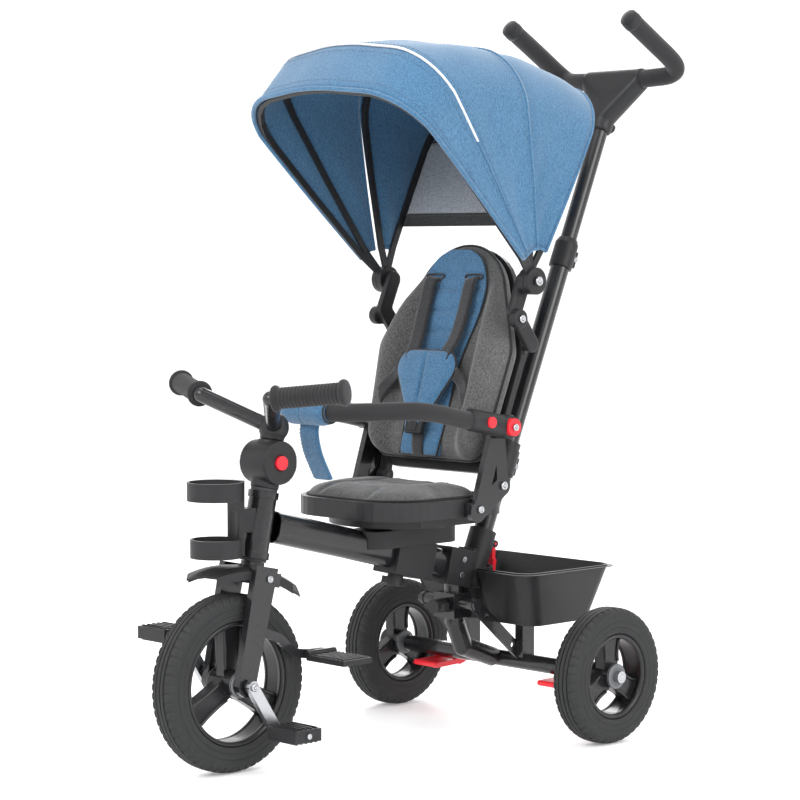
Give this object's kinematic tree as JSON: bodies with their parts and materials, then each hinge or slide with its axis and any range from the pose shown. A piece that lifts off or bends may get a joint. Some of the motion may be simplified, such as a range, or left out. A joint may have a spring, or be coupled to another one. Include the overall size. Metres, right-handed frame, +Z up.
{
  "type": "children's tricycle",
  "caption": "Children's tricycle with a steering push handle, turning padded seat, safety bar, folding sun canopy and rear storage basket.",
  "frame": {"origin": "on the floor under the middle of the trike's bounding box", "axes": "+Z up, +X the child's left, -Y the way the trike drives"},
  "size_m": [0.512, 0.9654, 1.1044],
  "materials": {
    "frame_paint": "gloss black powder coat",
    "black_plastic": "fine moulded texture",
    "shell_plastic": "satin moulded",
    "rim_plastic": "satin gloss moulded",
    "tyre_foam": "matt foam rubber",
    "grip_foam": "matt soft foam",
    "red_plastic": "gloss moulded",
    "bright_steel": "bright plated",
    "bush_plastic": "self-lubricating",
    "blue_fabric": "heathered woven polyester",
    "grey_fabric": "heathered woven polyester",
    "canopy_fabric": "heathered woven polyester, thin"
  },
  "bodies": {
    "frame": {"main_tube": "frame_paint", "head_tube": "frame_paint", "headset_bushes": "bush_plastic", "cup_holder": "black_plastic", "pole_socket": "black_plastic", "rear_frame": "frame_paint", "rear_axle_tube": "frame_paint", "rear_axle": "bright_steel", "basket": "shell_plastic", "fasteners": "bright_steel"},
    "post_knob": {"post_knob": "black_plastic"},
    "brake_left": {"brake_pedal_left": "red_plastic"},
    "brake_right": {"brake_pedal_right": "red_plastic"},
    "rear_wheel_left": {"rear_tyre_left": "tyre_foam", "rear_rim_left": "rim_plastic"},
    "rear_wheel_right": {"rear_tyre_right": "tyre_foam", "rear_rim_right": "rim_plastic"},
    "steering": {"fork": "frame_paint", "fender": "black_plastic", "stem_housing": "black_plastic", "handlebar_clamp": "black_plastic", "handlebar": "frame_paint", "grips": "grip_foam"},
    "stem_button": {"stem_button": "red_plastic"},
    "front_wheel": {"front_tyre": "tyre_foam", "front_rim": "rim_plastic", "crank_axle": "bright_steel"},
    "pedal_left": {"pedal_left": "black_plastic"},
    "pedal_right": {"pedal_right": "black_plastic"},
    "footrest_left": {"footrest_left": "black_plastic"},
    "footrest_right": {"footrest_right": "black_plastic"},
    "push_pole": {"pole_lower": "frame_paint", "pole_joint": "black_plastic", "pole_collar": "black_plastic"},
    "pole_lever": {"pole_lever": "red_plastic"},
    "push_handle": {"pole_upper": "frame_paint", "handle_hub": "shell_plastic", "handle_grips": "grip_foam"},
    "handle_button": {"handle_button": "black_plastic"},
    "seat_slider": {"seat_slider": "black_plastic"},
    "seat_knob": {"seat_knob": "black_plastic"},
    "seat": {"swivel_plate": "black_plastic", "seat_shell": "shell_plastic", "seat_cushion": "grey_fabric", "seat_arms": "frame_paint"},
    "backrest": {"backrest_shell": "shell_plastic", "backrest_cushion": "grey_fabric", "harness": "blue_fabric", "canopy_clamps": "black_plastic"},
    "safety_bar": {"safety_bar": "grip_foam", "bar_pad": "blue_fabric", "crotch_strap": "blue_fabric", "bar_pivots": "red_plastic"},
    "bar_button_left": {"bar_button_left": "red_plastic"},
    "bar_button_right": {"bar_button_right": "red_plastic"},
    "canopy": {"canopy_hubs": "black_plastic", "canopy_bows": "black_plastic", "canopy_rear": "canopy_fabric"},
    "canopy_front": {"front_bows": "black_plastic", "canopy_front": "canopy_fabric"}
  },
  "joints": [
    {"name": "steering_turn", "type": "hinge", "parent": "frame", "child": "steering", "pos_m": [0, -0.30392, 0.32263], "axis": [0, 0.2079, 0.9781], "range_deg": [-35, 35]},
    {"name": "push_pole_turn", "type": "hinge", "parent": "frame", "child": "push_pole", "pos_m": [0, 0.14113, 0.26682], "axis": [0, 0.3907, 0.9205], "range_deg": [-35, 35]},
    {"name": "push_handle_slide", "type": "slide", "parent": "push_pole", "child": "push_handle", "axis": [0, 0.3907, 0.9205], "range_m": [-0.15, 0]},
    {"name": "handle_button_press", "type": "slide", "parent": "push_handle", "child": "handle_button", "axis": [0, -0.9205, 0.3907], "range_m": [0, 0.003], "stiffness_N_per_m": 300},
    {"name": "pole_lever_pull", "type": "hinge", "parent": "frame", "child": "pole_lever", "pos_m": [0, 0.17246, 0.28177], "axis": [1, 0, 0], "range_deg": [0, 25], "stiffness_Nm_per_rad": 0.3},
    {"name": "front_wheel_spin", "type": "hinge", "parent": "steering", "child": "front_wheel", "pos_m": [0, -0.3555, 0.127], "axis": [1, 0, 0], "continuous": true},
    {"name": "left_pedal_spin", "type": "hinge", "parent": "front_wheel", "child": "pedal_left", "pos_m": [0.09, -0.31302, 0.06158], "axis": [1, 0, 0], "continuous": true},
    {"name": "right_pedal_spin", "type": "hinge", "parent": "front_wheel", "child": "pedal_right", "pos_m": [-0.09, -0.39798, 0.19242], "axis": [1, 0, 0], "continuous": true},
    {"name": "left_footrest_fold", "type": "hinge", "parent": "steering", "child": "footrest_left", "pos_m": [0.043, -0.2195, 0.16], "axis": [0, -1, 0], "range_deg": [0, 85]},
    {"name": "right_footrest_fold", "type": "hinge", "parent": "steering", "child": "footrest_right", "pos_m": [-0.043, -0.2195, 0.16], "axis": [0, 1, 0], "range_deg": [0, 85]},
    {"name": "stem_button_press", "type": "slide", "parent": "steering", "child": "stem_button", "axis": [-1, 0, 0], "range_m": [0, 0.0035], "stiffness_N_per_m": 300},
    {"name": "rear_left_spin", "type": "hinge", "parent": "frame", "child": "rear_wheel_left", "pos_m": [0.226, 0.1895, 0.102], "axis": [1, 0, 0], "continuous": true},
    {"name": "rear_right_spin", "type": "hinge", "parent": "frame", "child": "rear_wheel_right", "pos_m": [-0.226, 0.1895, 0.102], "axis": [1, 0, 0], "continuous": true},
    {"name": "brake_left_press", "type": "hinge", "parent": "frame", "child": "brake_left", "pos_m": [0.1345, 0.2135, 0.1], "axis": [-1, 0, 0], "range_deg": [0, 8]},
    {"name": "brake_right_press", "type": "hinge", "parent": "frame", "child": "brake_right", "pos_m": [-0.1345, 0.2135, 0.1], "axis": [-1, 0, 0], "range_deg": [0, 8]},
    {"name": "post_knob_turn", "type": "hinge", "parent": "frame", "child": "post_knob", "pos_m": [0, 0.0565, 0.195], "axis": [0, 1, 0], "range_deg": [0, 360]},
    {"name": "seat_slide", "type": "slide", "parent": "frame", "child": "seat_slider", "axis": [0, 0.972, -0.2351], "range_m": [-0.015, 0.015]},
    {"name": "seat_knob_turn", "type": "hinge", "parent": "seat_slider", "child": "seat_knob", "pos_m": [0, -0.03027, 0.25142], "axis": [0, 0.2351, 0.972], "range_deg": [0, 360]},
    {"name": "seat_swivel", "type": "hinge", "parent": "seat_slider", "child": "seat", "pos_m": [0, -0.0135, 0.326], "axis": [0, 0, 1], "range_deg": [0, 180]},
    {"name": "backrest_recline", "type": "hinge", "parent": "seat", "child": "backrest", "pos_m": [0, 0.0585, 0.388], "axis": [-1, 0, 0], "range_deg": [-6, 12]},
    {"name": "safety_bar_lift", "type": "hinge", "parent": "seat", "child": "safety_bar", "pos_m": [0, 0.0495, 0.476], "axis": [-1, 0, 0], "range_deg": [0, 60]},
    {"name": "left_bar_button_press", "type": "slide", "parent": "safety_bar", "child": "bar_button_left", "axis": [-1, 0, 0], "range_m": [0, 0.003], "stiffness_N_per_m": 300},
    {"name": "right_bar_button_press", "type": "slide", "parent": "safety_bar", "child": "bar_button_right", "axis": [1, 0, 0], "range_m": [0, 0.003], "stiffness_N_per_m": 300},
    {"name": "canopy_tilt", "type": "hinge", "parent": "backrest", "child": "canopy", "pos_m": [0, 0.0965, 0.688], "axis": [1, 0, 0], "range_deg": [-10, 15]},
    {"name": "canopy_fold", "type": "hinge", "parent": "canopy", "child": "canopy_front", "pos_m": [0, 0.0965, 0.688], "axis": [-1, 0, 0], "range_deg": [0, 24], "deforming": ["canopy_front"]}
  ],
  "couplings": [
    {"joint": "push_pole_turn", "follows": "steering_turn", "ratio": 1}
  ]
}
